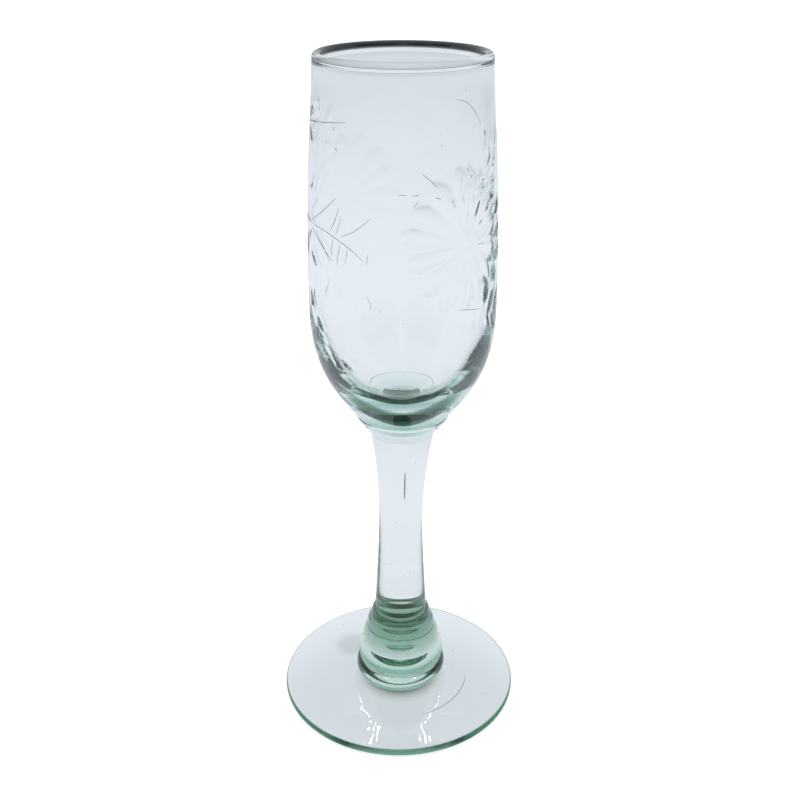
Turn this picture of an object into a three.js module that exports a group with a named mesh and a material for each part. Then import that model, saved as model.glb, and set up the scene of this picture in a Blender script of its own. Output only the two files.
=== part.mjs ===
// A hand-blown champagne flute of pale recycled glass, standing upright on its foot.
// Five gathers of glass are fused end to end on one axis: bowl, stem, ringed knop, collar and foot.
// Millimetres, +Z up. The origin is the centre of the circle that the foot rests on.

import * as THREE from "three";

// ---- Driving dimensions ----
const HEIGHT = 200; // overall, foot to rim
const SEGMENTS = 48; // flats round each turned piece

// bowl
const RIM_RADIUS = 23.4; // outside, at the mouth
const BELLY_RADIUS = 26.4; // outside, at the widest point
const BELLY_Z = 132;
const LIP = 2.7; // thickness of the bead round the mouth
const NECK_WALL = 2.0; // wall thickness just under the bead
const NECK_Z = 195.5;
const BELLY_WALL = 2.1; // wall thickness at the widest point
const FLOOR_Z = 101; // lowest point of the hollow
const FLOOR_ROUND = [10.5, 114]; // radius and height between which the wall rounds into the floor
const TIP_Z = 93.6; // lowest point of the solid end under the hollow

// stem
const CUP_Z = 98.2; // edge of the cup that the bowl is set into
const SEAT_RADIUS = 13.5; // where the bowl meets that edge
const CUP_LIP = 0.1; // how far the edge stands out round the bowl
const THROAT_RADIUS = 9.4; // under the cup
const THROAT_Z = 92.2;
const WAIST_RADIUS = 6.65; // thinnest point of the stem
const WAIST_Z = 60.8;
const STEM_END_RADIUS = 8.1;
const STEM_END_Z = 29.5;

// knop and collar: radius and height at the joints and at the grooves between the rings,
// from the bottom up, and how far each ring swells past its grooves
const KNOP_GROOVES = [
  [12.1, 16.4],
  [10.6, 22.6],
  [9.3, 26.6],
  [STEM_END_RADIUS, STEM_END_Z],
];
const KNOP_BULGES = [0.6, 0.5, 0.45];
const COLLAR_GROOVES = [[13.4, 5.2], [13, 10.4], KNOP_GROOVES[0]];
const COLLAR_BULGES = [1.05, 0.95];

// foot
const FOOT_RADIUS = 37.2;
const EDGE_THICKNESS = 2.6;
const REST_RING = [29, 35.8]; // inner and outer radius of the flat ring that the foot rests on
const UNDERSIDE_RISE = 1.6; // height of the shallow hollow under the foot

// ---- Outlines: each runs upwards on the outside, as [radius, height] ----
const v2 = (r, z) => new THREE.Vector2(r, z);

// Points along one cubic curve from a to d, shaped by b and c, without its first point.
function curve(a, b, c, d, steps) {
  return new THREE.CubicBezierCurve(v2(...a), v2(...b), v2(...c), v2(...d)).getPoints(steps).slice(1);
}

// A ring that swells out between two grooves, without its first point.
function ring(from, to, bulge, steps) {
  const a = v2(...from);
  const b = v2(...to);
  const out = v2(b.y - a.y, a.x - b.x).normalize();
  const middle = a.clone().add(b).multiplyScalar(0.5).addScaledVector(out, 2 * bulge);
  return new THREE.QuadraticBezierCurve(a, middle, b).getPoints(steps).slice(1);
}

// The rounded end of the bowl, from its tip to the edge of the cup. Bowl and stem share these points.
function seatPoints() {
  const depth = CUP_Z - TIP_Z;
  const radius = (SEAT_RADIUS ** 2 + depth ** 2) / (2 * depth);
  const sweep = Math.asin(SEAT_RADIUS / radius);
  const steps = 8;
  return Array.from({ length: steps + 1 }, (_, i) => {
    const angle = (sweep * i) / steps;
    return v2(radius * Math.sin(angle), TIP_Z + radius * (1 - Math.cos(angle)));
  });
}

function bowlOutline() {
  const lip = LIP / 2; // the mouth is a bead that stands in a little from the wall
  const lipZ = HEIGHT - lip;
  const bead = Array.from({ length: 10 }, (_, i) => {
    const angle = (Math.PI * (i + 1)) / 8;
    return v2(RIM_RADIUS - lip + lip * Math.cos(angle), lipZ + lip * Math.sin(angle));
  });
  const beadEnd = bead.at(-1);
  const innerNeck = RIM_RADIUS - NECK_WALL;
  const innerBelly = BELLY_RADIUS - BELLY_WALL;
  const turn = BELLY_Z + 2; // from here down the inside follows the floor's rounding
  return [
    ...seatPoints(),
    ...curve([SEAT_RADIUS, CUP_Z], [20.9, 107.9], [BELLY_RADIUS, 114.5], [BELLY_RADIUS, BELLY_Z], 12),
    ...curve([BELLY_RADIUS, BELLY_Z], [BELLY_RADIUS, 172], [RIM_RADIUS - 0.1, 188], [RIM_RADIUS, lipZ], 10),
    ...bead,
    ...curve([beadEnd.x, beadEnd.y], [innerNeck, beadEnd.y - 0.3], [innerNeck, 197], [innerNeck, NECK_Z], 4),
    ...curve([innerNeck, NECK_Z], [innerNeck, 187], [innerBelly, 172], [innerBelly, turn], 9),
    ...curve([innerBelly, turn], [innerBelly, FLOOR_ROUND[1]], [FLOOR_ROUND[0], FLOOR_Z], [0, FLOOR_Z], 14),
  ];
}

function stemOutline() {
  const neck = [STEM_END_RADIUS, STEM_END_Z];
  const waist = [WAIST_RADIUS, WAIST_Z];
  const throat = [THROAT_RADIUS, THROAT_Z];
  const cupEdge = [SEAT_RADIUS + CUP_LIP, CUP_Z - 0.5];
  return [
    v2(0, STEM_END_Z),
    v2(...neck),
    ...curve(neck, [7.9, 33], [WAIST_RADIUS, 53], waist, 6),
    ...curve(waist, [WAIST_RADIUS, 77], [8.4, 85.5], throat, 8),
    ...curve(throat, [10.3, 93.4], [12.5, 96], cupEdge, 4),
    v2(SEAT_RADIUS + CUP_LIP, CUP_Z - 0.2),
    ...seatPoints().reverse(),
  ];
}

// A stack of rings, flat at both ends.
function ringedOutline(grooves, bulges) {
  const rings = bulges.flatMap((bulge, i) => ring(grooves[i], grooves[i + 1], bulge, 7));
  return [v2(0, grooves[0][1]), v2(...grooves[0]), ...rings, v2(0, grooves.at(-1)[1])];
}

function footOutline() {
  const edge = EDGE_THICKNESS / 2;
  const shoulder = [FOOT_RADIUS - 1.3, EDGE_THICKNESS];
  const [restInner, restOuter] = REST_RING;
  return [
    v2(0, UNDERSIDE_RISE),
    ...curve([0, UNDERSIDE_RISE], [14, UNDERSIDE_RISE], [24, 0.5], [restInner, 0], 7),
    v2(restOuter, 0),
    ...curve([restOuter, 0], [FOOT_RADIUS - 0.3, 0], [FOOT_RADIUS, 0.5], [FOOT_RADIUS, edge], 4),
    ...curve([FOOT_RADIUS, edge], [FOOT_RADIUS, 2.1], [FOOT_RADIUS - 0.5, 2.5], shoulder, 4),
    ...curve(shoulder, [26, 3.2], [16, 3.9], COLLAR_GROOVES[0], 8),
    v2(0, COLLAR_GROOVES[0][1]),
  ];
}

// ---- Pieces ----
function turned(name, outline, color, roughness) {
  const geometry = new THREE.LatheGeometry(outline, SEGMENTS).rotateX(Math.PI / 2);
  const material = new THREE.MeshStandardMaterial({ color, roughness, metalness: 0 });
  const mesh = new THREE.Mesh(geometry, material);
  mesh.name = name;
  return mesh;
}

const flute = new THREE.Group();
flute.add(
  turned("bowl", bowlOutline(), 0xdde4ec, 0.05),
  turned("stem", stemOutline(), 0xe4ebef, 0.05),
  turned("knop", ringedOutline(KNOP_GROOVES, KNOP_BULGES), 0x8fb5a8, 0.08),
  turned("collar", ringedOutline(COLLAR_GROOVES, COLLAR_BULGES), 0xc3d6d2, 0.08),
  turned("foot", footOutline(), 0xd3dcdf, 0.06),
);

export default flute;
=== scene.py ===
"""A hand-blown champagne flute of pale recycled glass with cut flowers, on a plain white floor."""

import functools
import math
import random

import bpy
import numpy as np
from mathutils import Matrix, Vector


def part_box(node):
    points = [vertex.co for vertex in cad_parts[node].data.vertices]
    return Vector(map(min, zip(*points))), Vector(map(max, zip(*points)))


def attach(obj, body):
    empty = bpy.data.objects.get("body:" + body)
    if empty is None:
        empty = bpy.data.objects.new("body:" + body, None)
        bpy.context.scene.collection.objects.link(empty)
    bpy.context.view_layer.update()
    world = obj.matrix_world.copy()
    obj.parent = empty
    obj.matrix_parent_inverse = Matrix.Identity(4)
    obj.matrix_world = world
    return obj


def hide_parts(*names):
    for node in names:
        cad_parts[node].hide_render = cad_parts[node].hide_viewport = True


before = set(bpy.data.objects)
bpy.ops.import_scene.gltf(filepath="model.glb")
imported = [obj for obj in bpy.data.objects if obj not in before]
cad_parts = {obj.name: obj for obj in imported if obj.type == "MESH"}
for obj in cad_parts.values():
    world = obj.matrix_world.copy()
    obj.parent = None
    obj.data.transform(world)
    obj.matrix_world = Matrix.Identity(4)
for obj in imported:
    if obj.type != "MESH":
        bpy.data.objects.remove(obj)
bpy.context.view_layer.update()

MM = 0.001
TAU = 2 * math.pi
rng = random.Random(7)

# ---- Sizes in millimetres, from the frame ----


def node_box(node):
    low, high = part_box(node)
    return np.array(low) / MM, np.array(high) / MM


bowl_low, bowl_high = node_box("bowl")
stem_low, stem_high = node_box("stem")
knop_low, _ = node_box("knop")
collar_low, _ = node_box("collar")
_, foot_high = node_box("foot")

RIM_Z = bowl_high[2]
TIP_Z = bowl_low[2]  # lowest point of the bowl's solid end
BELLY_RADIUS = bowl_high[0]
CUP_Z = stem_high[2]  # edge of the cup under the bowl
STEM_END_Z = stem_low[2]
COLLAR_TOP_Z = knop_low[2]
COLLAR_BASE_Z = collar_low[2]
FOOT_RADIUS = foot_high[0]

# the rest of the flute's sizes, as in the CAD model
RIM_RADIUS = 23.4
BELLY_Z = 132.0
LIP = 2.7  # thickness of the bead round the mouth
NECK_WALL = 2.0
NECK_Z = 195.5
BELLY_WALL = 2.1
FLOOR_Z = 101.0
FLOOR_ROUND = (10.5, 114.0)  # radius and height between which the wall rounds into the floor
SEAT_RADIUS = 13.5
CUP_LIP = 0.1  # how far the cup's edge stands out round the bowl
THROAT = (9.4, 92.2)  # radius and height under the cup
WAIST = (6.65, 60.8)  # radius and height of the thinnest point of the stem
STEM_END_RADIUS = 8.1
KNOP_BASE_RADIUS = 12.1
# radius and height of the grooves between the rings, and how far each ring swells past them
KNOP_GROOVES = [(KNOP_BASE_RADIUS, COLLAR_TOP_Z), (10.6, 22.6), (9.3, 26.6), (STEM_END_RADIUS, STEM_END_Z)]
KNOP_BULGES = [0.6, 0.5, 0.45]
COLLAR_GROOVES = [(13.4, COLLAR_BASE_Z), (13.0, 10.4), (KNOP_BASE_RADIUS, COLLAR_TOP_Z)]
COLLAR_BULGES = [1.05, 0.95]
EDGE_THICKNESS = 2.6
REST_RING = (29.0, 35.8)  # inner and outer radius of the flat ring under the foot
UNDERSIDE_RISE = 1.6  # height of the shallow hollow under the foot

SOFT_CORNERS = 0.8  # how far the turned grooves and edges of stem and knop are rounded
COLLAR_CORNERS = 0.35
RING_STEPS = 24  # points up each ring

WELD_GAP = 0.02  # between two fused pieces, so that their faces never lie on each other
EDGE_GAP = 0.03  # from the edge of a weld face to the bare glass beside it

# ---- Camera: a little above the mouth, looking down at the whole flute ----

CAMERA_PLACE = (0.0, -0.284, 0.2347)
CAMERA_PITCH = math.radians(25.09)  # below the horizon
CAMERA_LENS = 48.1


def add_camera():
    data = bpy.data.cameras.new("camera")
    data.lens = CAMERA_LENS
    data.sensor_width = 36.0
    data.clip_start = 0.01
    camera = bpy.data.objects.new("camera", data)
    camera.location = CAMERA_PLACE
    camera.rotation_euler = (math.pi / 2 - CAMERA_PITCH, 0, 0)
    bpy.context.scene.collection.objects.link(camera)
    bpy.context.scene.camera = camera


add_camera()

# ---- Node helpers ----


def node(tree, kind, inputs=None, **settings):
    """A new node with its settings, and the values of its inputs by name or number."""
    made = tree.nodes.new(kind)
    for name, value in settings.items():
        setattr(made, name, value)
    for name, value in (inputs or {}).items():
        made.inputs[name].default_value = value
    return made


def blank_material(name):
    """A new material with nothing but an output node, and its tree and that node."""
    material = bpy.data.materials.new(name)
    material.use_nodes = True
    tree = material.node_tree
    tree.nodes.clear()
    return material, tree, node(tree, "ShaderNodeOutputMaterial")


def smooth_step(tree, value, low, high, start, end):
    """start where the value is below low, end above high, and smooth between."""
    ramp = node(tree, "ShaderNodeMapRange", {"From Min": low, "From Max": high, "To Min": start, "To Max": end},
                interpolation_type="SMOOTHSTEP")
    tree.links.new(value, ramp.inputs["Value"])
    return ramp.outputs["Result"]


def combine(tree, operation, a, b):
    made = node(tree, "ShaderNodeMath", operation=operation)
    tree.links.new(a, made.inputs[0])
    tree.links.new(b, made.inputs[1])
    return made.outputs["Value"]


# ---- Outlines, as (radius, height) points in millimetres ----


def curve(a, b, c, d, steps):
    """Points on a cubic curve from a to d, shaped by b and c, without the first."""
    t = np.linspace(0, 1, steps + 1)[1:, None]
    a, b, c, d = (np.array(p, float) for p in (a, b, c, d))
    return (1 - t) ** 3 * a + 3 * (1 - t) ** 2 * t * b + 3 * (1 - t) * t * t * c + t**3 * d


def ring(low, high, bulge, steps):
    """Points on a ring that swells out between two grooves, without the first."""
    low, high = np.array(low, float), np.array(high, float)
    along = high - low
    out = np.array([along[1], -along[0]]) / np.linalg.norm(along)
    middle = (low + high) / 2 + out * 2 * bulge
    t = np.linspace(0, 1, steps + 1)[1:, None]
    return (1 - t) ** 2 * low + 2 * (1 - t) * t * middle + t * t * high


def softened(points, width):
    """The outline with its corners rounded over about that many millimetres; its ends stay."""
    steps = np.linalg.norm(np.diff(points, axis=0), axis=1)
    at = np.concatenate([[0], np.cumsum(steps)])
    weights = np.exp(-0.5 * ((at[:, None] - at[None, :]) / width) ** 2)
    weights *= np.gradient(at)[None, :]
    inner = weights @ points / weights.sum(1)[:, None]
    fade = np.clip(np.minimum(at, at[-1] - at) / (2.5 * width), 0, 1)[:, None]
    return points + (inner - points) * fade


def seat(steps=12):
    """The bowl's rounded solid end, from its tip to the edge of the cup."""
    depth = CUP_Z - TIP_Z
    radius = (SEAT_RADIUS**2 + depth**2) / (2 * depth)
    angle = np.linspace(0, math.asin(SEAT_RADIUS / radius), steps + 1)
    return np.stack([radius * np.sin(angle), TIP_Z + radius * (1 - np.cos(angle))], 1)


def respaced(points, gap):
    """The same line with its points that far apart."""
    at = np.concatenate([[0], np.cumsum(np.linalg.norm(np.diff(points, axis=0), axis=1))])
    new = np.linspace(0, at[-1], int(round(at[-1] / gap)) + 1)
    return np.stack([np.interp(new, at, points[:, 0]), np.interp(new, at, points[:, 1])], 1)


CUT_ZONE = (118, 194)  # heights between which the flowers are cut
CUT_GAP = 0.52  # between the rings of points there


def bowl_outside():
    """From the cup's edge up to the lip, closely spaced where the flowers are cut."""
    belly = (BELLY_RADIUS, BELLY_Z)
    line = np.vstack([
        [SEAT_RADIUS, CUP_Z],
        curve((SEAT_RADIUS, CUP_Z), (20.9, 107.9), (BELLY_RADIUS, 114.5), belly, 400),
        curve(belly, (BELLY_RADIUS, 172), (RIM_RADIUS - 0.1, 188), (RIM_RADIUS, RIM_Z - LIP / 2), 800),
    ])
    cut_low, cut_high = np.searchsorted(line[:, 1], CUT_ZONE)
    return np.vstack([
        respaced(line[: cut_low + 1], 1.0)[:-1],
        respaced(line[cut_low : cut_high + 1], CUT_GAP)[:-1],
        respaced(line[cut_high:], 0.8),
    ])


def bowl_lip(steps=14):
    """The bead, from its outside over the top and in under it."""
    lip = LIP / 2
    angle = np.linspace(0, 1.25 * math.pi, steps + 1)[1:]
    return np.stack([RIM_RADIUS - lip + lip * np.cos(angle), RIM_Z - lip + lip * np.sin(angle)], 1)


def bowl_inside():
    """From under the bead down to the middle of the floor, without the first point."""
    bead_end = bowl_lip()[-1]
    neck = RIM_RADIUS - NECK_WALL
    belly = BELLY_RADIUS - BELLY_WALL
    return np.vstack([
        curve(bead_end, (neck, bead_end[1] - 0.3), (neck, 197), (neck, NECK_Z), 8),
        curve((neck, NECK_Z), (neck, 187), (belly, 172), (belly, BELLY_Z + 2), 20),
        curve((belly, BELLY_Z + 2), (belly, FLOOR_ROUND[1]), (FLOOR_ROUND[0], FLOOR_Z), (0, FLOOR_Z), 40),
    ])


def stem_side():
    """From the weld with the knop up to the cup's edge."""
    neck = (STEM_END_RADIUS, STEM_END_Z)
    edge = (SEAT_RADIUS + CUP_LIP, CUP_Z - 0.5)
    side = np.vstack([
        [neck],
        curve(neck, (7.9, 33), (WAIST[0], 53), WAIST, 60),
        curve(WAIST, (WAIST[0], 77), (8.4, 85.5), THROAT, 60),
        curve(THROAT, (10.3, 93.4), (12.5, 96), edge, 20),
        [[SEAT_RADIUS + CUP_LIP, CUP_Z - 0.2]],
        [[SEAT_RADIUS, CUP_Z]],
    ])
    return softened(side, SOFT_CORNERS)


def ringed(grooves, bulges, soften):
    """A stack of swelling rings between grooves, from the bottom up."""
    rings = [ring(low, high, bulge, RING_STEPS) for low, high, bulge in zip(grooves, grooves[1:], bulges)]
    return softened(np.vstack([[grooves[0]]] + rings), soften)


def foot_side():
    """From the middle of the underside, round the edge, up to the weld with the collar."""
    edge = EDGE_THICKNESS / 2
    shoulder = (FOOT_RADIUS - 1.3, EDGE_THICKNESS)
    return np.vstack([
        [[0, UNDERSIDE_RISE]],
        curve((0, UNDERSIDE_RISE), (14, UNDERSIDE_RISE), (24, 0.5), (REST_RING[0], 0), 40),
        [[REST_RING[1], 0]],
        curve((REST_RING[1], 0), (FOOT_RADIUS - 0.3, 0), (FOOT_RADIUS, 0.5), (FOOT_RADIUS, edge), 10),
        curve((FOOT_RADIUS, edge), (FOOT_RADIUS, 2.1), (FOOT_RADIUS - 0.5, 2.5), shoulder, 10),
        curve(shoulder, (26, 3.2), (16, 3.9), COLLAR_GROOVES[0], 60),
    ])


def disc(radius, z, outward):
    """A flat weld face from the axis out almost to a radius, or back to the axis."""
    radii = np.array([0, radius / 2, radius - EDGE_GAP])
    radii = radii if outward else radii[::-1]
    return np.stack([radii, np.full(len(radii), z)], 1)


def welded(bottom, side, top):
    """One outline from its bottom weld face, side and top weld face, and the marks of its fused points."""
    marks = np.concatenate([np.ones(len(bottom)), np.zeros(len(side)), np.ones(len(top))])
    return np.vstack([bottom, side, top]), marks


# ---- The hand-made shape: a slight lean and waves, the same for all pieces ----

LEAN = [(2, 9, 0.6), (50, 110, 0.6)]  # each step sideways: from height, to height, by how much
FOOT_SHIFT = -0.4  # of the foot, sideways


def hand_made(points):
    """Moves points as the glassblower's hand did: a small lean, and walls that are not quite round."""
    x, y, z = points.T
    angle = np.arctan2(y, x)
    lean = FOOT_SHIFT
    for low, high, step in LEAN:
        rise = np.clip((z - low) / (high - low), 0, 1)
        lean = lean + step * rise * rise * (3 - 2 * rise)
    swell = 0.003 * np.sin(2 * angle + z / 31) + 0.0018 * np.sin(3 * angle - z / 19 + 1.0)
    swell += 0.0012 * np.sin(5 * angle + z / 11)
    grown = 1 + swell * np.clip((z - 1) / 3, 0, 1)
    return np.stack([x * grown + lean, y * grown, z], 1)


# ---- Closed turned meshes ----


class Shell:
    """Points and faces of one or more closed bodies, with a material index for each face."""

    def __init__(self):
        self.points = []
        self.fused = []
        self.faces = []
        self.kinds = []

    def add(self, points, faces, kind=0, fused=0.0):
        start = len(self.points)
        self.points.extend(map(tuple, points))
        self.fused.extend(np.broadcast_to(fused, len(points)).tolist())
        self.faces.extend(tuple(start + i for i in face) for face in faces)
        self.kinds.extend([kind] * len(faces))

    def piece(self, name, materials):
        points = hand_made(np.array(self.points)) * MM
        mesh = bpy.data.meshes.new(name)
        mesh.from_pydata(points.tolist(), [], self.faces)
        mesh.polygons.foreach_set("material_index", self.kinds)
        mesh.polygons.foreach_set("use_smooth", [True] * len(mesh.polygons))
        fused = mesh.attributes.new("fused", "FLOAT", "POINT")
        fused.data.foreach_set("value", np.array(self.fused, np.float32))
        mesh.set_sharp_from_angle(angle=math.radians(40))
        for material in materials:
            mesh.materials.append(material)
        piece = bpy.data.objects.new(name, mesh)
        bpy.context.scene.collection.objects.link(piece)
        return piece


def stitch(lower, upper):
    """Faces between two rings of point numbers, where one may have a few times more than the other."""
    if len(lower) == len(upper):
        count = len(lower)
        return [(lower[j], lower[(j + 1) % count], upper[(j + 1) % count], upper[j]) for j in range(count)]
    fine, coarse = (lower, upper) if len(lower) > len(upper) else (upper, lower)
    ratio = len(fine) // len(coarse)
    faces = []
    for j, corner in enumerate(coarse):
        after = coarse[(j + 1) % len(coarse)]
        span = [fine[(j * ratio + k) % len(fine)] for k in range(ratio + 1)]
        half = (ratio + 1) // 2
        for k in range(ratio):
            apex = corner if k < half else after
            faces.append((span[k], span[k + 1], apex))
        faces.append((span[half], after, corner))
    return faces if fine is lower else [face[::-1] for face in faces]


def turned(shell, outline, columns, weld=None, kind=0, shape=None):
    """Adds a closed body turned from an outline that starts and ends on the axis.
    columns gives the points on each ring, and weld marks the points on faces fused to the next
    piece. shape takes the arrays of all ring points, and gives their radius, height and shift."""
    count = len(outline) - 2
    columns = np.broadcast_to(columns, count)
    weld = np.zeros(len(outline)) if weld is None else weld
    ring_of = np.repeat(np.arange(count), columns)
    angle = np.concatenate([np.arange(n) * TAU / n for n in columns])
    radius = outline[1:-1][ring_of, 0]
    height = outline[1:-1][ring_of, 1]
    shift = np.zeros((len(radius), 3))
    if shape:
        radius, height, shift = shape(radius, angle, height, ring_of)
    body = np.stack([radius * np.cos(angle), radius * np.sin(angle), height], 1) + shift
    points = np.vstack([[0, 0, outline[0, 1]], body, np.array([0, 0, outline[-1, 1]]) + shift[-1]])
    marks = np.concatenate([[weld[0]], weld[1:-1][ring_of], [weld[-1]]])
    first = 1 + np.concatenate([[0], np.cumsum(columns)])
    rings = [list(range(first[i], first[i + 1])) for i in range(count)]
    last = first[-1]
    faces = [(0, rings[0][(j + 1) % len(rings[0])], rings[0][j]) for j in range(len(rings[0]))]
    for lower, upper in zip(rings, rings[1:]):
        faces += stitch(lower, upper)
    faces += [(last, rings[-1][j], rings[-1][(j + 1) % len(rings[-1])]) for j in range(len(rings[-1]))]
    shell.add(points, faces, kind, marks)


def add_hoop(shell, section, columns, kind, shift=0.0):
    """Adds a closed hoop round the axis. section gives its (radius, height) points at an angle,
    in the same sense as an outline that runs from the bottom, outside, to the top."""
    points, faces = [], []
    for angle in np.arange(columns) * TAU / columns:
        points += [(r * math.cos(angle) + shift, r * math.sin(angle), z) for r, z in section(angle)]
    size = len(points) // columns
    for i in range(columns):
        here, after = i * size, (i + 1) % columns * size
        faces += [(here + j, after + j, after + (j + 1) % size, here + (j + 1) % size) for j in range(size)]
    shell.add(points, faces, kind)


# ---- Glass ----

NO_BEND = 1.0  # the IOR of fused faces, and of darker glass inside clear glass
RIPPLE_SCALE = 170.0
RIPPLE_STRETCH = (1, 1, 0.35)  # the waves are drawn out upwards


def glass(name, absorb, density, ior=1.5, ripple=0.0):
    """Clear glass with its colour in its depth. Faces fused to the next piece don't bend light."""
    material, tree, output = blank_material(name)
    shader = node(tree, "ShaderNodeBsdfPrincipled", {
        "Base Color": (1, 1, 1, 1), "Roughness": 0.0, "Transmission Weight": 1.0, "IOR": ior})
    if ior != NO_BEND:
        fused = node(tree, "ShaderNodeAttribute", attribute_name="fused")
        bend = node(tree, "ShaderNodeMapRange", {"To Min": ior, "To Max": NO_BEND})
        tree.links.new(fused.outputs["Fac"], bend.inputs["Value"])
        tree.links.new(bend.outputs["Result"], shader.inputs["IOR"])
    if ripple:
        place = node(tree, "ShaderNodeTexCoord")
        stretch = node(tree, "ShaderNodeMapping", {"Scale": RIPPLE_STRETCH})
        waves = node(tree, "ShaderNodeTexNoise", {"Scale": RIPPLE_SCALE, "Detail": 2.0, "Roughness": 0.55})
        bump = node(tree, "ShaderNodeBump", {"Strength": 1.0, "Distance": ripple * MM})
        tree.links.new(place.outputs["Object"], stretch.inputs["Vector"])
        tree.links.new(stretch.outputs["Vector"], waves.inputs["Vector"])
        tree.links.new(waves.outputs["Fac"], bump.inputs["Height"])
        tree.links.new(bump.outputs["Normal"], shader.inputs["Normal"])
    volume = node(tree, "ShaderNodeVolumeAbsorption", {"Color": (*absorb, 1), "Density": density})
    tree.links.new(shader.outputs["BSDF"], output.inputs["Surface"])
    tree.links.new(volume.outputs["Volume"], output.inputs["Volume"])
    return material


def ground_glass():
    """The matt bottom of a line cut with a fine wheel, or a dark streak."""
    material, tree, output = blank_material("ground_line")
    shader = node(tree, "ShaderNodeBsdfPrincipled", {
        "Base Color": (0.4, 0.46, 0.46, 1), "Roughness": 0.7, "Transmission Weight": 0.6})
    tree.links.new(shader.outputs["BSDF"], output.inputs["Surface"])
    return material


def finish_piece(piece, cad_node):
    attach(piece, "root")
    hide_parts(cad_node)


# ---- Bowl ----

CUT_COLUMNS = 344  # points on each ring outside
INSIDE_COLUMNS = 86
CUT_RADIUS = 26.2  # of the wall where the flowers are, to turn angles into lengths
CUT_TOP = 195  # no cuts above this height
HEART_KIND, LINE_KIND, SHADE_SKIN_KIND, SHADE_LIP_KIND = 1, 2, 3, 4  # numbers of these materials in the bowl's list
HOLLOW_SHIFT = -0.3  # the hollow is a little off centre, so the right wall is thicker
HEART_RADIUS = 10.5
HEART_BASE = [(3.4, TIP_Z + 2.3), (4.2, TIP_Z + 2.6)]  # lower corner of the heart
SKIN_REACH = 22  # radius out to which the painted-shade skin under the hollow may run
SKIN_DEPTHS = (0.1, 0.12)  # of its top and of its thinnest bottom, under the hollow's surface
SKIN_THICKNESS = 1.8
SKIN_HALF_WIDTH = 5
LIP_DEPTHS = (0.1, 0.11)  # of the painted-shade glass inside the bead: its top, and its bottom where it is thinnest
# greatest thickness of the painted-shade sheet in the bead, at the back
LIP_SKIN = 0.5
LINE_DEPTH = 0.05  # of glass over a fine line
LINE_NARROWING = 0.75  # of all fine lines, against the half widths listed
LINE_STEP = 0.9  # between the points along a fine line
WALL_DEGREE = 0.46  # length of one degree round the wall
BOWL_BUBBLES = 46
BUBBLE_SIZE = 0.08  # smallest radius

# angle from the front, height, turn and depth
FLOWERS = [(40.5, 155.4, 4.0, 0.68), (-137.0, 157.0, 14.0, 0.2)]
PETALS = 15
PETAL_START = 2.6  # from the middle of the daisy
PETAL_REACH = (18.2, 20.4)
PETAL_HALF_WIDTH = (3.1, 3.5)
DIMPLES = 9
DIMPLE_SPAN = (1.2, 3.2)  # from the middle of the daisy
DIMPLE_HALF_WIDTH = 0.8


def on_wall(angle, height):
    """Flat position on the unrolled wall, in millimetres, from an angle to the right of the front."""
    return np.array([math.radians(angle) * CUT_RADIUS, height])


def scoop(place, start, end, half_width, depth, widest=0.5, blunt=1.0):
    """Depth of one wheel cut, a shallow trough from start to end, at each place on the wall.
    widest tells where along it the trough is widest, and a low blunt makes its ends rounder."""
    along = end - start
    length = np.linalg.norm(along)
    along = along / length
    off = place - start
    half_turn = math.pi * CUT_RADIUS
    off[:, 0] = (off[:, 0] + half_turn) % (2 * half_turn) - half_turn
    reached = (off @ along) / length
    across = off @ np.array([-along[1], along[0]])
    bent = np.clip(reached, 0, 1) ** (math.log(0.5) / math.log(widest))
    width = half_width * np.sin(math.pi * bent) ** blunt + 1e-6
    inside = (reached > 0) & (reached < 1)
    return np.where(inside, depth * (width / half_width) * (1 - np.minimum((across / width) ** 2, 1)), 0)


def petals(place, angle, height, turn, depth):
    """One daisy: a ring of teardrop petals round a ring of small dimples."""
    middle = on_wall(angle, height)
    cut = np.zeros(len(place))
    for i in range(PETALS):
        direction = math.radians(turn) + TAU * i / PETALS + rng.uniform(-0.03, 0.03)
        out = np.array([math.cos(direction), math.sin(direction)])
        start, end = middle + out * PETAL_START, middle + out * rng.uniform(*PETAL_REACH)
        petal = scoop(place, start, end, rng.uniform(*PETAL_HALF_WIDTH), depth, widest=0.66, blunt=0.62)
        cut = np.maximum(cut, petal)
    for i in range(DIMPLES):
        direction = TAU * i / DIMPLES
        out = np.array([math.cos(direction), math.sin(direction)])
        start, end = (middle + out * far for far in DIMPLE_SPAN)
        cut = np.maximum(cut, scoop(place, start, end, DIMPLE_HALF_WIDTH, 0.36 * depth))
    return cut


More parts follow.
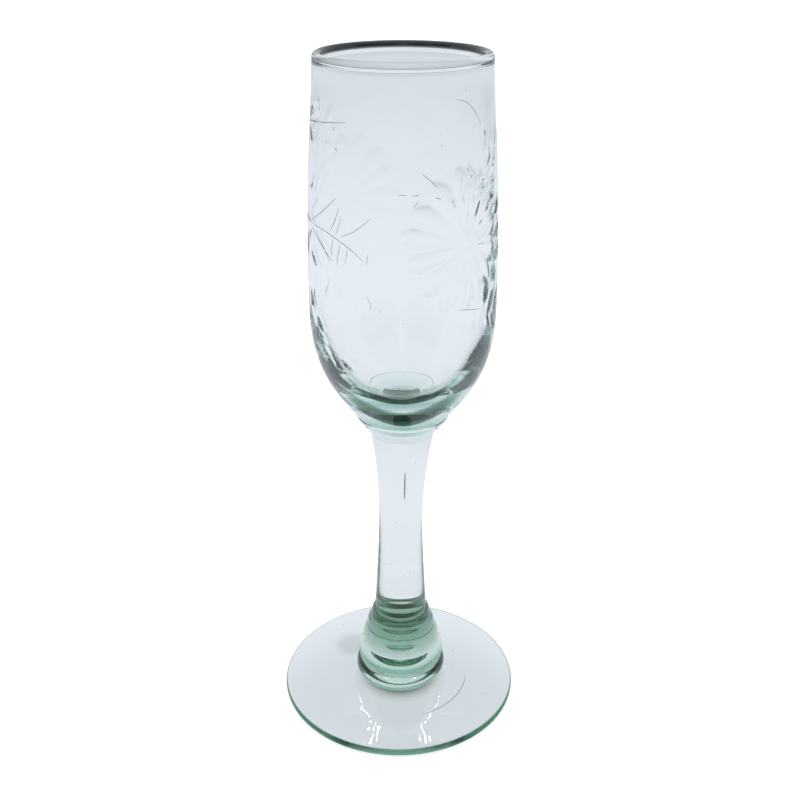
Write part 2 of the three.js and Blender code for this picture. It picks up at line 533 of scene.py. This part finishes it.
# leaves, as start and end (angle, height), half width and depth
LEAVES = [
    # sprig high on the left
    ((-80, 184.5), (-62, 188.5), 1.5, 0.35),
    ((-77, 182.5), (-63, 178), 1.7, 0.4),
    ((-53, 183.5), (-47, 189), 1.2, 0.16),
    ((-53, 181.5), (-46, 177.5), 1.2, 0.16),
    ((-98, 184), (-88, 189), 1.4, 0.35),
    ((-96, 181.5), (-88, 176), 1.4, 0.35),
    # fern on the left
    ((-74, 157), (-95, 162), 1.6, 0.45),
    ((-72, 156), (-84, 147), 1.5, 0.45),
    ((-70, 165), (-62, 171), 1.2, 0.25),
    ((-68, 160), (-57, 165.5), 1.2, 0.25),
    ((-69, 151), (-57, 146), 1.1, 0.25),
    # sprig low on the left
    ((-72, 139.5), (-66, 133.5), 1.2, 0.35),
    ((-80, 133), (-72, 127.5), 1.5, 0.45),
    ((-61, 133.5), (-54, 129), 1.2, 0.3),
    ((-63, 129.5), (-51, 125.5), 1.3, 0.25),
    ((-70, 125), (-58, 119.5), 1.6, 0.3),
    ((-56, 124.5), (-46, 119), 1.3, 0.2),
    ((-40, 124), (-30, 120.5), 1.4, 0.16),
    # right, round the daisy
    ((60, 187), (54, 181), 1.2, 0.12),
    ((40, 188.5), (36, 183), 1.2, 0.1),
    ((66, 183), (61, 176), 1.3, 0.35),
    ((74, 178), (63, 172.5), 1.5, 0.4),
    ((86, 184), (78, 175), 1.4, 0.35),
    ((66, 141), (58, 133), 1.2, 0.35),
    ((79, 140), (68, 133), 1.3, 0.35),
    ((62, 133), (72, 127), 1.2, 0.3),
    ((46, 136), (40, 129.5), 1.1, 0.1),
    ((31, 136), (36, 130), 1.1, 0.1),
    # left and right of the back daisy
    ((-120, 137), (-112, 130), 1.4, 0.2),
    ((-134, 133), (-126, 127), 1.4, 0.14),
    ((-148, 134), (-142, 127), 1.3, 0.12),
    ((116, 163), (128, 168), 1.5, 0.4),
    ((114, 157), (130, 158), 1.6, 0.45),
    ((116, 151), (127, 145), 1.5, 0.4),
]

# fine lines, as points (angle, height) and half width
LINES = [
    # stalk of the sprig high on the left
    ([(-98, 182.5), (-76, 183.5), (-55, 184.5), (-35, 185.5)], 0.13),
    # fern on the left: stalks and barbs
    ([(-76, 158), (-60, 157.8), (-47, 157.2), (-31, 154.5), (-22, 151.3)], 0.13),
    ([(-70, 157.5), (-58, 154.5), (-44, 149.8)], 0.2),
    ([(-70, 158), (-54, 162), (-41, 167)], 0.12),
    ([(-76, 160), (-68, 157.5)], 0.12),
    ([(-62, 157), (-52, 153), (-46, 149)], 0.09),
    ([(-43, 156.5), (-46, 153), (-44, 151)], 0.12),
    ([(-38, 155.5), (-40, 152), (-41, 149)], 0.12),
    ([(-33, 154.5), (-34, 152), (-35, 150)], 0.09),
    ([(-47, 157.5), (-42, 161), (-39, 165)], 0.11),
    ([(-42, 157), (-39, 160), (-38, 162.5)], 0.1),
    ([(-39, 156.8), (-28, 159), (-18, 163)], 0.09),
    ([(-20, 154), (-21, 150.5)], 0.08),
    # stalks low on the left
    ([(-72, 127.5), (-58, 126), (-50, 125), (-40, 124)], 0.13),
    ([(-21, 142.5), (-18, 140.5), (-19, 138.5)], 0.08),
    # short strokes in front
    ([(10, 174.3), (15, 172.5), (21, 170)], 0.1),
    ([(-3, 169), (2, 169)], 0.09),
    ([(5, 168.8), (9, 168.9)], 0.1),
    ([(5, 165.8), (9, 167.5)], 0.09),
    ([(18.5, 168), (22.5, 167.3)], 0.12),
    # right, round the daisy
    ([(32, 191), (40, 190.5), (48, 187.5), (54, 183.5)], 0.09),
    ([(78, 176), (68, 171), (58, 168)], 0.12),
    ([(33, 137.8), (42, 137), (52, 136.3)], 0.1),
    ([(60, 141), (66, 137), (76, 134)], 0.11),
    ([(74, 141), (66, 135), (60, 131)], 0.11),
    # back
    ([(108, 157), (124, 158), (140, 160)], 0.13),
]


def cuts(radius, angle, height):
    """How deep the flowers and leaves are cut at each point of the outside."""
    front_angle = (angle + math.pi / 2) % TAU
    place = np.stack([front_angle * CUT_RADIUS, height], 1)
    cut = np.zeros(len(place))
    for flower in FLOWERS:
        cut = np.maximum(cut, petals(place, *flower))
    for start, end, half_width, depth in LEAVES:
        leaf = scoop(place, on_wall(*start), on_wall(*end), half_width, depth, widest=0.55, blunt=0.8)
        cut = np.maximum(cut, leaf)
    return cut


def wall_radius(outside, height):
    return np.interp(height, outside[:, 1], outside[:, 0])


def ball(middle, radius):
    """Points and outward faces of a small round body."""
    rows, columns = 6, 8
    points = [middle + np.array([0, 0, -radius])]
    for i in range(1, rows):
        tilt = math.pi * i / rows
        for j in range(columns):
            turn = TAU * j / columns
            flat = math.sin(tilt)
            out = np.array([flat * math.cos(turn), flat * math.sin(turn), -math.cos(tilt)])
            points.append(middle + radius * out)
    points.append(middle + np.array([0, 0, radius]))
    last = len(points) - 1
    faces = []
    for j in range(columns):
        k = (j + 1) % columns
        faces.append((0, 1 + k, 1 + j))
        faces.append((last, last - columns + j, last - columns + k))
        for i in range(rows - 2):
            a = 1 + i * columns
            faces.append((a + j, a + k, a + columns + k, a + columns + j))
    return points, faces


def bubble(shell, middle, radius, tall=1.0):
    """A gas bubble shut in the glass: a closed hollow, so its faces point inwards."""
    points, faces = ball(np.zeros(3), radius)
    points = [np.array(middle) + p * (1, 1, tall) for p in points]
    shell.add(points, [face[::-1] for face in faces])


def rod(shell, middle, out, half_width, kind):
    """A thin closed rod along a line of points, tapered at both ends; out points to the surface near it."""
    ahead = np.gradient(middle, axis=0)
    ahead /= np.linalg.norm(ahead, axis=1)[:, None]
    side = np.cross(ahead, out)
    steps = len(middle) - 1
    width = half_width * (0.25 + 0.75 * np.sin(np.linspace(0, math.pi, steps + 1)) ** 0.6)
    sides = 6
    points, faces = [middle[0]], []
    for i in range(1, steps):
        for j in range(sides):
            turn = TAU * j / sides
            points.append(middle[i] + width[i] * (math.cos(turn) * side[i] + math.sin(turn) * out[i]))
    points.append(middle[-1])
    last = len(points) - 1
    for j in range(sides):
        k = (j + 1) % sides
        faces.append((0, 1 + j, 1 + k))
        faces.append((last, last - sides + k, last - sides + j))
        for i in range(steps - 2):
            a = 1 + i * sides
            faces.append((a + k, a + j, a + sides + j, a + sides + k))
    shell.add(points, faces, kind)


def hairline(shell, outside, route, half_width, kind):
    """One fine ground line just under the surface of the bowl."""
    route = np.array(route, float)
    for _ in range(3):  # rounds its corners
        near, far = 0.75 * route[:-1] + 0.25 * route[1:], 0.25 * route[:-1] + 0.75 * route[1:]
        route = np.vstack([route[:1], np.stack([near, far], 1).reshape(-1, 2)[1:-1], route[-1:]])
    at = np.concatenate([[0], np.cumsum(np.linalg.norm(np.diff(route * (WALL_DEGREE, 1), axis=0), axis=1))])
    steps = max(6, int(at[-1] / LINE_STEP))
    fine = np.linspace(0, at[-1], steps + 1)
    height = np.interp(fine, at, route[:, 1])
    angle = np.radians(np.interp(fine, at, route[:, 0])) - math.pi / 2
    cut_depth = cuts(np.zeros(steps + 1), angle, height)
    radius = wall_radius(outside, height) - cut_depth - half_width - LINE_DEPTH
    out = np.stack([np.cos(angle), np.sin(angle), 0 * angle], 1)
    rod(shell, radius[:, None] * out + height[:, None] * np.array([0, 0, 1]), out, half_width, kind)


def floor_line(reach):
    """The floor of the hollow from the axis out to a radius, and at each point the way into the glass."""
    line = respaced(bowl_inside()[::-1], 0.5)
    line = line[(line[:, 1] < BELLY_Z) & (line[:, 0] < reach)]
    along = np.gradient(line, axis=0)
    away = np.stack([along[:, 1], -along[:, 0]], 1) / np.linalg.norm(along, axis=1)[:, None]
    away[0] = (0, -1)
    return line, away


def green_heart():
    """The sea-green heart of the bowl's solid end: a cone that widens from the tip to the hollow."""
    line, away = floor_line(HEART_RADIUS)
    over = (line + away)[::-1]
    side = curve(HEART_BASE[1], (6.5, TIP_Z + 4.2), (HEART_RADIUS - 2, 99), over[0], 16)[:-1]
    return np.vstack([[[0, TIP_Z + 2.2]], [HEART_BASE[0]], side, over])


def add_painted_shade_skin(shell):
    """Painted shade: darker glass close under the hollow, at the front, thinning out at its edges."""
    line, away = floor_line(SKIN_REACH)
    top, bottom = SKIN_DEPTHS
    outline = np.vstack([line + bottom * away, (line + top * away)[::-1]])

    def shape(radius, angle, height, ring_of):
        under = ring_of < len(line) - 1
        at = np.minimum(ring_of + 1, len(line) - 1)
        facing = -np.sin(angle)  # 1 at the front, 0 at the sides
        turn_in = np.clip((facing - 0.45) / 0.45, 0, 1)  # from nothing towards the sides to all at the front
        middle = 8.5 + 9 * (1 - np.clip(facing, 0, 1) ** 2)  # radius where it is thickest
        bump = np.clip(1 - ((radius - middle) / SKIN_HALF_WIDTH) ** 2, 0, 1)
        thick = np.where(under, SKIN_THICKNESS * bump * turn_in * turn_in * (3 - 2 * turn_in), 0)
        shift = np.zeros((len(radius), 3))
        return radius + away[at, 0] * thick, height + away[at, 1] * thick, shift

    turned(shell, outline, columns=96, kind=SHADE_SKIN_KIND, shape=shape)


def add_painted_shade_lip(shell):
    """Painted shade: darker glass just under the inner top of the bead round the mouth, thickest at the back,
    least of all at the front.
    """
    steps = 16
    over = np.radians(np.linspace(84, 205, steps))
    turn = np.concatenate([over, over[1:-1][::-1]])
    swell = np.sin(np.linspace(0, math.pi, steps))[1:-1]
    bead = LIP / 2
    top, bottom = LIP_DEPTHS

    def section(angle):
        thick = LIP_SKIN * (0.51 + 0.49 * math.tanh(2.4 * (math.sin(angle) + 0.25)))
        reach = np.concatenate([np.full(steps, bead - top), bead - bottom - thick * swell])
        return np.stack([RIM_RADIUS - bead + reach * np.cos(turn), RIM_Z - bead + reach * np.sin(turn)], 1)

    add_hoop(shell, section, columns=128, kind=SHADE_LIP_KIND, shift=0.7 * HOLLOW_SHIFT)


def make_bowl():
    shell = Shell()
    bottom = seat() + [0, WELD_GAP]
    outside = bowl_outside()
    lip = bowl_lip()
    inside = bowl_inside()
    outside[0] += (EDGE_GAP, EDGE_GAP)
    outline = np.vstack([bottom, outside, lip, inside])
    first_inside = len(bottom) - 1 + len(outside) + len(lip)
    count = len(outline) - 2
    columns = np.where(np.arange(count) < first_inside, CUT_COLUMNS, INSIDE_COLUMNS)
    weld = np.zeros(len(outline))
    weld[: len(bottom)] = 1

    def shape(radius, angle, height, ring_of):
        cut_here = (ring_of >= len(bottom)) & (ring_of < first_inside) & (height < CUT_TOP)
        radius = radius.copy()
        radius[cut_here] -= cuts(radius[cut_here], angle[cut_here], height[cut_here])
        hollow = np.clip((ring_of - first_inside + len(lip)) / len(lip), 0, 1)  # from 0 to 1 over the lip
        shift = np.stack([HOLLOW_SHIFT * hollow, 0 * hollow, 0 * hollow], 1)
        return radius, height, shift

    turned(shell, outline, columns, weld, shape=shape)
    turned(shell, green_heart(), columns=64, kind=HEART_KIND)
    add_painted_shade_skin(shell)
    add_painted_shade_lip(shell)
    for route, half_width in LINES:
        hairline(shell, outside, route, LINE_NARROWING * half_width, LINE_KIND)
    for _ in range(BOWL_BUBBLES):
        angle = rng.uniform(0, TAU)
        height = rng.uniform(104, CUT_TOP)
        radius = wall_radius(outside, height) - rng.uniform(1.0, 1.4)
        size = BUBBLE_SIZE + 0.22 * rng.random() ** 3
        middle = (radius * math.cos(angle), radius * math.sin(angle), height)
        bubble(shell, middle, size, tall=rng.uniform(1, 2))
    materials = [
        glass("bowl_glass", (0.25, 0.65, 0.55), 5, ripple=0.03),
        glass("green_heart", (0.16, 0.58, 0.43), 60, ior=NO_BEND),
        ground_glass(),
        # painted shade: dark green glass under the hollow, thickest at the front
        glass("painted_shade_skin", (0.03, 0.34, 0.2), 620, ior=NO_BEND),
        # painted shade: near-black glass in the bead, darkest at the back
        glass("painted_shade_lip", (0.04, 0.1, 0.09), 9000, ior=NO_BEND),
    ]
    bowl = shell.piece("bowl_glass", materials)
    finish_piece(bowl, "bowl")


# ---- Stem, knop, collar and foot ----

STREAK = [(0.7, -0.5, 69.5), (0.7, -0.5, 80.0)]  # ends of the dark streak in the stem
STREAK_HALF_WIDTH = 0.13
STEM_BUBBLES = 6
COLLAR_SHADE = (12.3, 8.0)  # radius and height of the middle of the collar's painted-shade hoop
COLLAR_SHADE_HALF = (1.3, 1.9)  # half its width and height at the sides
EDGE_INSET = 0.12  # of the painted-shade glass from the foot's edge
FOOT_BUBBLES = 26
FOOT_BUBBLE_REACH = 36  # radius within which they lie
TOOL_MARK = (-8, -73)  # angles between which it runs over the foot
TOOL_MARK_RADII = (22.2, 23.6)
TOOL_MARK_DEPTH = 0.22
TOOL_MARK_HALF_WIDTH = 0.11


def make_stem():
    shell = Shell()
    bottom = disc(STEM_END_RADIUS, STEM_END_Z + WELD_GAP, outward=True)
    side = stem_side()
    side[0, 1] += WELD_GAP
    top = seat()[::-1]
    top[0] -= (EDGE_GAP, EDGE_GAP)
    outline, weld = welded(bottom, side, top)
    turned(shell, outline, columns=160, weld=weld)
    steps = 12
    rod(shell, np.linspace(*STREAK, steps), np.tile((0.0, -1.0, 0.0), (steps, 1)), STREAK_HALF_WIDTH, kind=1)
    for _ in range(STEM_BUBBLES):
        bubble(shell, (rng.uniform(-4, 4), rng.uniform(-4, 4), rng.uniform(34, 90)), 0.1 + 0.1 * rng.random())
    stem = shell.piece("stem_glass", [glass("stem_glass", (0.3, 0.6, 0.3), 6, ripple=0.02), ground_glass()])
    finish_piece(stem, "stem")


def turned_rings(shell, grooves, bulges, soften):
    """Adds a stack of rings with a weld face at each end."""
    (base_radius, base_z), (top_radius, top_z) = grooves[0], grooves[-1]
    side = ringed(grooves, bulges, soften)
    side[0, 1] += WELD_GAP
    bottom = disc(base_radius, base_z + WELD_GAP, outward=True)
    outline, weld = welded(bottom, side, disc(top_radius, top_z, outward=False))
    turned(shell, outline, columns=192, weld=weld)


def make_knop():
    shell = Shell()
    turned_rings(shell, KNOP_GROOVES, KNOP_BULGES, SOFT_CORNERS)
    knop = shell.piece("knop_glass", [glass("knop_glass", (0.2, 0.5, 0.31), 102, ripple=0.02)])
    finish_piece(knop, "knop")


def make_collar():
    shell = Shell()
    turned_rings(shell, COLLAR_GROOVES, COLLAR_BULGES, COLLAR_CORNERS)
    around = np.linspace(0, TAU, 12, endpoint=False)

    def section(angle):
        """A hoop of darker glass, painted shade, that is thick only at the sides."""
        grown = 0.03 + np.clip((abs(math.cos(angle)) - 0.66) / 0.3, 0, 1)
        (radius, height), (wide, tall) = COLLAR_SHADE, COLLAR_SHADE_HALF
        return np.stack([radius + wide * grown * np.cos(around), height + tall * grown * np.sin(around)], 1)

    add_hoop(shell, section, columns=96, kind=1)
    collar = shell.piece("collar_glass", [
        glass("collar_glass", (0.25, 0.6, 0.5), 10, ripple=0.02),
        # painted shade: dark glass at the collar's left and right sides
        glass("collar_painted_shade", (0.08, 0.25, 0.17), 900, ior=NO_BEND),
    ])
    finish_piece(collar, "collar")


def add_foot_edge_painted_shade(shell):
    """Painted shade: darker glass inside the foot's edge, thickest at the front and thinnest at the back."""
    outer = FOOT_RADIUS - EDGE_INSET
    corner = np.array([outer, 1.0])
    whole = np.array([
        (outer - 1.3, 0.15), (outer - 0.35, 0.2), (outer, 0.7), (outer, 1.5), (outer - 0.35, 2.15),
        (outer - 0.8, 2.3), (outer - 0.95, 1.6), (outer - 1.2, 0.8)])

    def section(angle):
        return corner + (0.62 - 0.38 * math.sin(angle)) * (whole - corner)

    add_hoop(shell, section, columns=192, kind=1)


def make_foot():
    shell = Shell()
    side = foot_side()
    outline, weld = welded(side[:0], side, disc(*COLLAR_GROOVES[0], outward=False))
    turned(shell, outline, columns=256, weld=weld)
    for _ in range(FOOT_BUBBLES):
        angle = rng.uniform(0, TAU)
        radius = FOOT_BUBBLE_REACH * math.sqrt(rng.uniform(0.2, 0.95))
        height = rng.uniform(1.2, 1.9) + 0.3 * (1 - radius / FOOT_BUBBLE_REACH)
        middle = (radius * math.cos(angle), radius * math.sin(angle), height)
        bubble(shell, middle, BUBBLE_SIZE + 0.2 * rng.random() ** 3)
    add_foot_edge_painted_shade(shell)
    steps = 20
    angle = np.radians(np.linspace(*TOOL_MARK, steps))
    radius = np.linspace(*TOOL_MARK_RADII, steps)
    upper = side[side[:, 1] > EDGE_THICKNESS][::-1]
    height = np.interp(radius, upper[:, 0], upper[:, 1]) - TOOL_MARK_DEPTH
    mark = np.stack([radius * np.cos(angle), radius * np.sin(angle), height], 1)
    rod(shell, mark, np.tile((0.0, 0.0, 1.0), (steps, 1)), TOOL_MARK_HALF_WIDTH, kind=2)
    foot = shell.piece("foot_glass", [
        glass("foot_glass", (0.2, 0.62, 0.4), 27, ripple=0.016),
        # painted shade: dark green glass in the foot's edge, thickest at the front
        glass("foot_edge_painted_shade", (0.08, 0.3, 0.25), 480, ior=NO_BEND),
        ground_glass(),
    ])
    finish_piece(foot, "foot")


make_bowl()
make_stem()
make_knop()
make_collar()
make_foot()

# ---- Stage: a white floor and room. The glass mirrors and bends a greyer studio instead, with dark
# patches behind the camera, shades on the floor under the foot, and a strip of small lamps ----

STUDIO = (0.77, 0.812, 0.872)
DARKEST = 0.12  # brightness in the middle of a dark patch
# azimuth to each side, elevation, and the angles from its middle where it starts and ends to fade
DARK_PATCHES = [(152, 23, 16, 27), (120, 26, 10, 22)]
ROOM_LIGHT = 1.1

FLOOR_REACH = 4.0  # metres from the middle to each side
FLOOR_Z_DROP = -0.0002  # metres, so that it never lies on the foot
FLOOR_GLOW = 0.55
# the mirrored floor fades with the distance from a point beyond the flute, all in metres
FLOOR_FADE_FROM = (0, 0.1, 0)
FLOOR_FADE = (0.1, 1.9, 1.055, 0.8)  # start and end, and the brightness at each
# middle, inner and outer radius in metres, and brightness inside
FLOOR_SHADES = [
    ((0, 0, 0), 0.004, 0.0145, 0.2),  # under the knop
    ((0, -0.025, 0), 0.03, 0.06, 0.84),  # under the front of the foot
    ((-0.016, 0.015, 0), 0.003, 0.008, 0.8),  # behind the knop, to the left
]

LAMPS = [(x, 413, 528) for x in np.linspace(-130, 150, 36)]  # high beyond the flute
LAMP_RADIUS = 1.3
LAMP_STRENGTH = 60


def patch(tree, direction, azimuth, elevation, inner, outer):
    """1 inside a round patch of the sky, 0 outside it; azimuth 0 is beyond the flute, at +Y."""
    tilt, turn = math.radians(elevation), math.radians(azimuth)
    middle = (math.sin(turn) * math.cos(tilt), math.cos(turn) * math.cos(tilt), math.sin(tilt))
    toward = node(tree, "ShaderNodeVectorMath", {1: middle}, operation="DOT_PRODUCT")
    tree.links.new(direction, toward.inputs[0])
    low, high = math.cos(math.radians(outer)), math.cos(math.radians(inner))
    return smooth_step(tree, toward.outputs["Value"], low, high, 0, 1)


def distance(tree, place, point):
    far = node(tree, "ShaderNodeVectorMath", {1: point}, operation="DISTANCE")
    tree.links.new(place, far.inputs[0])
    return far.outputs["Value"]


def show(tree, output, direct, seen, mirrored):
    """Shows seen where direct is 1, and mirrored to all other rays."""
    mix = node(tree, "ShaderNodeMixShader")
    tree.links.new(direct, mix.inputs["Fac"])
    tree.links.new(mirrored.outputs[0], mix.inputs[1])
    tree.links.new(seen.outputs[0], mix.inputs[2])
    tree.links.new(mix.outputs["Shader"], output.inputs["Surface"])


def floor_material():
    material, tree, output = blank_material("floor_white")
    seen = node(tree, "ShaderNodeBsdfPrincipled", {
        "Base Color": (0.8, 0.8, 0.8, 1), "Roughness": 0.9, "Specular IOR Level": 0.0,
        "Emission Color": (1, 1, 1, 1), "Emission Strength": FLOOR_GLOW})
    mirrored = node(tree, "ShaderNodeEmission", {"Color": (*STUDIO, 1)})
    place = node(tree, "ShaderNodeTexCoord").outputs["Object"]
    strength = smooth_step(tree, distance(tree, place, FLOOR_FADE_FROM), *FLOOR_FADE)
    for middle, inner, outer, darkest in FLOOR_SHADES:
        shade = smooth_step(tree, distance(tree, place, middle), inner, outer, darkest, 1)
        strength = combine(tree, "MULTIPLY", strength, shade)
    tree.links.new(strength, mirrored.inputs["Strength"])
    direct = node(tree, "ShaderNodeLightPath").outputs["Is Camera Ray"]
    show(tree, output, direct, seen, mirrored)
    return material


def add_floor():
    corners = [(-1, -1), (1, -1), (1, 1), (-1, 1)]
    mesh = bpy.data.meshes.new("floor")
    points = [(FLOOR_REACH * x, FLOOR_REACH * y, FLOOR_Z_DROP) for x, y in corners]
    mesh.from_pydata(points, [], [(0, 1, 2, 3)])
    mesh.materials.append(floor_material())
    floor = bpy.data.objects.new("floor", mesh)
    bpy.context.scene.collection.objects.link(floor)


def add_world():
    world = bpy.data.worlds.new("room")
    bpy.context.scene.world = world
    world.use_nodes = True
    tree = world.node_tree
    tree.nodes.clear()
    output = node(tree, "ShaderNodeOutputWorld")
    seen = node(tree, "ShaderNodeBackground", {"Strength": ROOM_LIGHT})
    mirrored = node(tree, "ShaderNodeBackground", {"Color": (*STUDIO, 1)})
    direction = node(tree, "ShaderNodeTexCoord").outputs["Generated"]
    patches = [patch(tree, direction, side * azimuth, elevation, inner, outer)
               for side in (-1, 1) for azimuth, elevation, inner, outer in DARK_PATCHES]
    dark = functools.reduce(lambda a, b: combine(tree, "MAXIMUM", a, b), patches)
    light = smooth_step(tree, dark, 0, 1, 1, DARKEST)
    tree.links.new(light, mirrored.inputs["Strength"])
    path = node(tree, "ShaderNodeLightPath")
    direct = combine(tree, "MAXIMUM", path.outputs["Is Camera Ray"], path.outputs["Is Diffuse Ray"])
    show(tree, output, direct, seen, mirrored)


def add_lamps():
    """A strip of small round lamps, seen only as reflections in the glass."""
    shell = Shell()
    for middle in LAMPS:
        shell.add(*ball(np.array(middle), LAMP_RADIUS))
    mesh = bpy.data.meshes.new("lamp_strip")
    mesh.from_pydata((np.array(shell.points) * MM).tolist(), [], shell.faces)
    material, tree, output = blank_material("lamp")
    shine = node(tree, "ShaderNodeEmission", {"Strength": LAMP_STRENGTH})
    tree.links.new(shine.outputs["Emission"], output.inputs["Surface"])
    mesh.materials.append(material)
    lamps = bpy.data.objects.new("lamp_strip", mesh)
    bpy.context.scene.collection.objects.link(lamps)
    lamps.visible_camera = False
    lamps.visible_diffuse = False
    lamps.visible_shadow = False


add_floor()
add_world()
add_lamps()

MOST_BOUNCES = 64  # light rings round inside thick glass many times before it leaves

scene = bpy.context.scene
scene.view_settings.view_transform = "Standard"
for limit in ("max_bounces", "glossy_bounces", "transmission_bounces"):
    setattr(scene.cycles, limit, MOST_BOUNCES)
scene.cycles.transparent_max_bounces = 16
